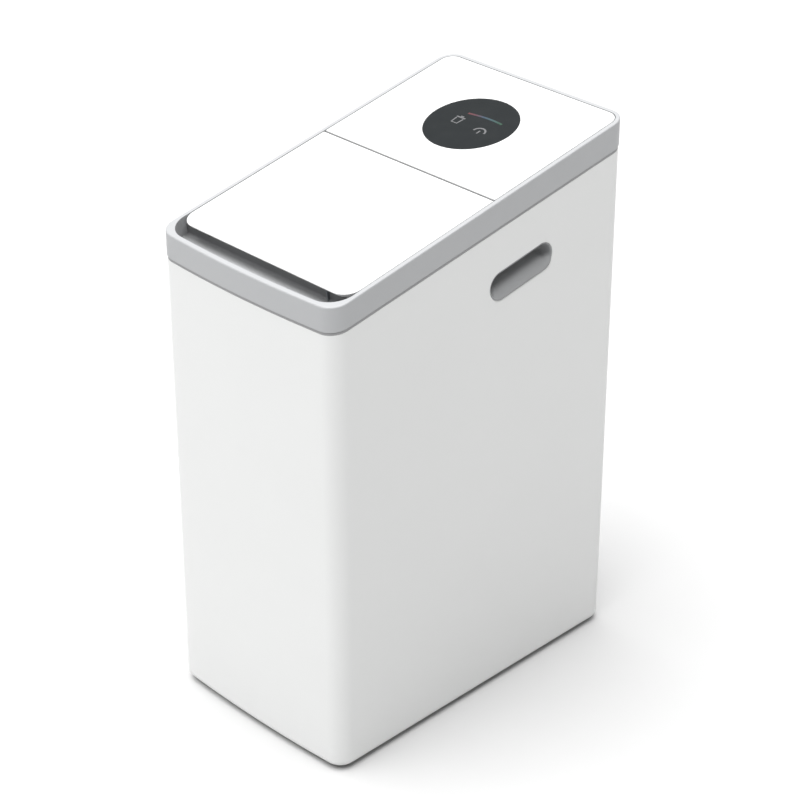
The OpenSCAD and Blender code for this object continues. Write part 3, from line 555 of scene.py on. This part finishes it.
def build_collar():
    rim = 0.0020

    def low(y):
        return z_seam(y) + SEAM_GAP

    def ring(i, height):
        return [Vector((x, y, height(y))) for x, y in plan(i)]

    rings = [ring(0.003, low), ring(0.0011, low), ring(0.0003, lambda y: low(y) + 0.0003),
             ring(0.0, lambda y: low(y) + 0.0011)]
    rings.append(ring(0.0, lambda y: (low(y) + z_top(y)) / 2))
    for k in range(0, 9):
        a = math.pi / 2 * k / 8
        rings.append(ring(rim * (1 - math.cos(a)),
                          lambda y, a=a: z_top(y) - rim * (1 - math.sin(a))))
    for grow, n in ((0.0006, 0.0), (0.0002, -0.0002), (0.0, -0.0006)):
        rings.append([top(x, s, n) for x, s in mouth(grow)])
    deep = []
    for x, s in mouth(0.0):
        deep.append((x, s, dish(s) - 0.0006 if s < DISH_S else LID_LEDGE_N))
    rings.append([top(*p) for p in deep])
    back = [(x, s, n) for (x, s), (_, _, n) in zip(mouth(0.0018), deep)]
    rings.append([top(*p) for p in back])
    bm = bmesh.new()
    loft(bm, rings)
    obj = finish_mesh("collar_band", bm, "silver_plastic", "cabinet", sharp=50)
    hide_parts("collar_frame")

    # finger scoop, gasket land and throat edge, swept from side to side
    lips = {}
    outline = [p for p in mouth(0.0) if p[1] < DISH_S + 0.012]
    xs = sorted(set(round(p[0], 6) for p in outline if abs(p[0]) < MOUTH_HW - 0.0001))
    for x, s in outline:
        lips.setdefault(round(x, 6), s)
    rows = []
    for x in xs:
        s0 = min(lips[x], DISH_S - 0.0015)
        col = []
        for k in range(15):
            s = s0 + (DISH_S - 0.003 - s0) * k / 14
            col.append(top(x, s, dish(s)))
        for a in (20, 45, 70, 90):
            rad = math.radians(a)
            col.append(top(x, DISH_S - 0.003 + 0.003 * math.sin(rad),
                           dish(DISH_S - 0.003) + 0.003 * (1 - math.cos(rad))))
        for s, n in ((DISH_S, -0.0118), (DISH_S + 0.0002, -0.0112), (DISH_S + 0.0008, LID_LEDGE_N),
                     (0.0468, LID_LEDGE_N), (0.0474, -0.0116), (0.0474, -0.014)):
            col.append(top(x, s, n))
        rows.append(col)
    bm = bmesh.new()
    loft(bm, rows, ring_closed=False, section_closed=False)
    # the scoop's finish darkens towards the back as painted shade
    scoop = finish_mesh("collar_scoop", bm, "scoop_painted_shade", "cabinet", sharp=50)
    solid = scoop.modifiers.new("wall", "SOLIDIFY")
    solid.thickness, solid.offset = 0.002, -1.0
    return scoop


def ring_plate(bm, outer, inner, n_high, n_low):
    """Flat ring between two rounded rectangles on the sloping top."""
    o, i = rounded(*outer), rounded(*inner)
    rings = [[top(x, s, n_high) for x, s in o], [top(x, s, n_high) for x, s in i],
             [top(x, s, n_low) for x, s in i], [top(x, s, n_low) for x, s in o]]
    loft(bm, rings)


scoop = build_collar()
bm = bmesh.new()
ring_plate(bm, (-0.1465, 0.0402, 0.1465, 0.277, 0.003), (-0.1305, 0.0474, 0.1305, 0.2552, 0.010),
           LID_LEDGE_N, LID_LEDGE_N - 0.003)
ring_plate(bm, (-0.1465, 0.2719, 0.1465, 0.4982, 0.016), (-0.134, 0.2804, 0.134, 0.486, 0.012),
           -0.00302, -0.006)
soft_box(bm, (-0.146, 0.2718, LID_LEDGE_N), (0.146, 0.2748, -0.0061), 0.0006,
         lambda p: top(p.x, p.y, p.z))
finish_mesh("collar_ledges", bm, "silver_plastic", "cabinet")


# ---------------------------------------------------------------- lid and deck

def lid_outline(i, front=0.0):
    """Lid outline from the left rear corner round the front, set in by i and more in front."""
    w, s0, r = MOUTH_HW - SIDE_GAP - i, 0.0284 + max(i, 0) + front, 0.022 - i
    h = math.pi / 2
    pts = [(-w, HINGE_S)] + line((-w, HINGE_S), (-w, s0 + r), 5)
    pts += arc(-w + r, s0 + r, r, 2 * h, 3 * h, 15)
    pts += line((-w + r, s0), (w - r, s0), 9)
    pts += arc(w - r, s0 + r, r, 3 * h, 4 * h, 15)
    pts += line((w, s0 + r), (w, HINGE_S), 5) + [(w, HINGE_S)]
    return pts


def build_lid():
    rings = [[top(x, s, -0.0025) for x, s in lid_outline(0.0025, 0.009)],
             [top(x, s, -0.008) for x, s in lid_outline(0.0025, 0.009)],
             [top(x, s, -0.008) for x, s in lid_outline(0.0006, 0.0064)],
             [top(x, s, -0.0074) for x, s in lid_outline(0.0, 0.0054)],
             [top(x, s, -0.0030) for x, s in lid_outline(0.0, 0.0010)]]
    r = 0.0013
    for k in range(0, 7):
        a = math.pi / 2 * k / 6
        rings.append([top(x, s, -r * (1 - math.sin(a)))
                      for x, s in lid_outline(r * (1 - math.cos(a)))])
    bm = bmesh.new()
    loft(bm, rings, section_closed=False, caps=True)
    w = MOUTH_HW - SIDE_GAP
    e = 0.0008
    lathe(bm, [(BARREL_R - e, -w), (BARREL_R, -w + e), (BARREL_R, w - e), (BARREL_R - e, w)], 48,
          lambda p: top(p.z, HINGE_S + p.x, -BARREL_R + p.y))
    obj = finish_mesh("lid_panel", bm, "white_gloss", "lid", sharp=40)
    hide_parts("lid_outer")


def build_deck():
    w, s0, s1 = MOUTH_HW - SIDE_GAP, 0.2714, 0.4948
    edge = 0.0009

    def outline(i):
        h = math.pi / 2
        rr, rf = 0.0168 - i, 0.0016 - i
        return (arc(w - i - rr, s1 - i - rr, rr, 0, h, 25)
                + line((w - i - rr, s1 - i), (-w + i + rr, s1 - i), 14)
                + arc(-w + i + rr, s1 - i - rr, rr, h, 2 * h, 25)
                + line((-w + i, s1 - i - rr), (-w + i, s0 + i + rf), 10)
                + arc(-w + i + rf, s0 + i + rf, rf, 2 * h, 3 * h, 5)
                + line((-w + i + rf, s0 + i), (w - i - rf, s0 + i), 14)
                + arc(w - i - rf, s0 + i + rf, rf, 3 * h, 4 * h, 5)
                + line((w - i, s0 + i + rf), (w - i, s1 - i - rr), 10))

    def flat(points, n):
        return [top(x, s, n) for x, s in points]

    # angles round the opening, in step with the outline
    hole = [math.atan2(s - DISPLAY_S, x) for x, s in outline(edge)]

    def circle(r, n):
        return [top(r * math.cos(a), DISPLAY_S + r * math.sin(a), n) for a in hole]

    rings = [circle(0.0568, -2 * DECK_T), circle(0.064, -2 * DECK_T), circle(0.064, -DECK_T),
             flat(outline(0.0), -DECK_T), flat(outline(0.0), -edge)]
    for k in range(1, 5):
        a = math.pi / 2 * k / 4
        rings.append(flat(outline(edge * (1 - math.cos(a))), -edge * (1 - math.sin(a))))
    rings += [circle(DISPLAY_R + 0.0009, 0.0), circle(DISPLAY_R + 0.0005, -0.0001),
              circle(DISPLAY_R + 0.0003, -0.0005), circle(DISPLAY_R + 0.0003, -DECK_T),
              circle(0.0568, -DECK_T)]
    bm = bmesh.new()
    loft(bm, rings)
    obj = finish_mesh("deck_panel", bm, "white_gloss", "cabinet", sharp=50)
    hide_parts("control_deck")

    bm = bmesh.new()
    lathe(bm, [(DISPLAY_R - 0.0004, -0.00298), (DISPLAY_R, -0.0026), (DISPLAY_R, -0.0009),
               (DISPLAY_R - 0.0002, -0.0005), (DISPLAY_R - 0.0006, -0.0003)], 160,
          lambda p: top(p.x, DISPLAY_S + p.y, p.z))
    obj = finish_mesh("display_glass", bm, "dark_glass", "cabinet", sharp=50)
    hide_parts("display_window")


build_lid()
build_deck()


def stroke_band(bm, points, half, n0, n1):
    """Flat rounded stroke along points on the top plane, as a closed thin solid."""
    left, right = [], []
    for k, (x, s) in enumerate(points):
        a = points[max(k - 1, 0)]
        b = points[min(k + 1, len(points) - 1)]
        dx, ds = b[0] - a[0], b[1] - a[1]
        d = math.hypot(dx, ds)
        nx, ns = -ds / d, dx / d
        left.append((x + nx * half, s + ns * half))
        right.append((x - nx * half, s - ns * half))
    sections = []
    for (lx, ls), (rx, rs) in zip(left, right):
        sections.append([top(lx, ls, n0), top(rx, rs, n0), top(rx, rs, n1), top(lx, ls, n1)])
    loft(bm, sections, section_closed=False, caps=True)


def build_display_marks():
    """Two plain symbols and a status bar printed on the display."""
    n0, n1 = -0.0003, -0.00018
    bm = bmesh.new()
    # waste bin symbol
    cx, cs = -0.0205, 0.3800
    stroke_band(bm, [(cx - 0.007, cs + 0.006), (cx + 0.007, cs + 0.006)], 0.0011, n0, n1)
    stroke_band(bm, [(cx - 0.0025, cs + 0.0085), (cx + 0.0025, cs + 0.0085)], 0.0010, n0, n1)
    stroke_band(bm, [(cx - 0.0055, cs + 0.004), (cx - 0.0045, cs - 0.007),
                     (cx + 0.0045, cs - 0.007), (cx + 0.0055, cs + 0.004)], 0.0010, n0, n1)
    # press symbol: an arch over a bar
    cx, cs = 0.0215, 0.3745
    stroke_band(bm, [(cx + 0.0085 * math.cos(a), cs - 0.002 + 0.0085 * math.sin(a))
                     for a in [math.pi * k / 14 for k in range(15)]], 0.0012, n0, n1)
    stroke_band(bm, [(cx, cs + 0.001), (cx, cs - 0.006)], 0.0010, n0, n1)
    finish_mesh("display_symbols", bm, "icon_white", "cabinet")
    bm = bmesh.new()
    curve = []
    for k in range(29):
        x = -0.020 + 0.054 * k / 28
        curve.append((x, 0.3985 + 0.0035 * math.sin(math.pi * (x + 0.020) / 0.070)))
    stroke_band(bm, curve, 0.0016, n0, n1)
    finish_mesh("display_bar", bm, "status_bar", "cabinet")


build_display_marks()


# ---------------------------------------------------------------- other shown parts

# These show in the scoop; their bright metal is coloured dark as painted shade, so that they sink
# into the scoop's shadow instead of glinting.
SHADE_COLOURED_FINISHES = {"lid_strike": "bin_plastic", "lid_magnet": "motor_case"}

for node, width in {
        "rear_cover": 0.0004, "filter_drawer": 0.0005, "power_inlet": 0.0004,
        "power_rocker": 0.0006, "foot": 0.0008, "bag_ring": 0.0008, "waste_bin": 0.0006,
        "throat_liner": 0.0005, "lid_inner": 0.0006, "lid_strike": 0.0003,
        "ram_plate": 0.0006, "chamber_floor": 0.0005, "front_plate": 0.0006,
        "divider_plate": 0.0006, "bearing_plate": 0.0006, "base_tray": 0.0005,
        "side_rails": 0.0006, "control_board": 0.0004, "power_supply": 0.0005,
        "lock_solenoid": 0.0005, "lid_sensor": 0.0005, "filter_guide": 0.0006}.items():
    refine(node, width, slot_name=SHADE_COLOURED_FINISHES.get(node))
# the magnet's dark finish is painted shade too
nodes["lid_magnet"].data.materials[0] = FINISH[SHADE_COLOURED_FINISHES["lid_magnet"]]


# ---------------------------------------------------------------- camera, floor and light

def soft_light(name, place, target, size, power, color=(1, 1, 1)):
    data = bpy.data.lights.new(name, "AREA")
    data.shape, data.size, data.size_y = "RECTANGLE", size[0], size[1]
    data.energy, data.color = power, color
    obj = bpy.data.objects.new(name, data)
    bpy.context.scene.collection.objects.link(obj)
    obj.location = place
    obj.rotation_mode = "QUATERNION"
    obj.rotation_quaternion = (Vector(target) - Vector(place)).to_track_quat("-Z", "Y")


def build_studio():
    world = bpy.data.worlds.new("studio")
    world.use_nodes = True
    background = world.node_tree.nodes["Background"]
    background.inputs["Color"].default_value = (1, 1, 1, 1)
    background.inputs["Strength"].default_value = 0.35
    bpy.context.scene.world = world

    mat, tree, bsdf = new_material("floor")
    vec = texture_coords(tree)
    tree.links.new(tint(tree, noise(tree, vec, 3.0), (0.54, 0.54, 0.54), (0.56, 0.56, 0.56)),
                   bsdf.inputs["Base Color"])
    bsdf.inputs["Roughness"].default_value = 0.9
    bm = bmesh.new()
    corners = [bm.verts.new((x, y, 0)) for x, y in ((-30, -30), (30, -30), (30, 30), (-30, 30))]
    bm.faces.new(corners)
    me = bpy.data.meshes.new("floor")
    bm.to_mesh(me)
    bm.free()
    me.materials.append(mat)
    floor = bpy.data.objects.new("floor", me)
    bpy.context.scene.collection.objects.link(floor)

    sun = bpy.data.lights.new("overhead", "SUN")
    sun.energy, sun.angle = 5.6, math.radians(70)
    obj = bpy.data.objects.new("overhead", sun)
    bpy.context.scene.collection.objects.link(obj)
    obj.rotation_mode = "QUATERNION"
    obj.rotation_quaternion = Vector((0.07, 0.16, -1)).to_track_quat("-Z", "Y")
    soft_light("front_fill", (-1.8, -3.4, 1.0), (0, 0, 0.35), (2.6, 2.2), 8)

    data = bpy.data.cameras.new("camera")
    data.sensor_width = 36
    data.lens = 110.3
    data.clip_start, data.clip_end = 0.05, 100
    cam = bpy.data.objects.new("camera", data)
    bpy.context.scene.collection.objects.link(cam)
    right = Vector((0.70565, 0.70856, 0.0)).normalized()
    forward = Vector((-0.61602, 0.61349, -0.49411)).normalized()
    up = right.cross(forward)
    rot = Matrix((right, up, -forward)).transposed()
    cam.matrix_world = Matrix.Translation((1.8995, -1.8828, 1.8958)) @ rot.to_4x4()
    bpy.context.scene.camera = cam
    bpy.context.scene.view_settings.view_transform = "Standard"


build_studio()
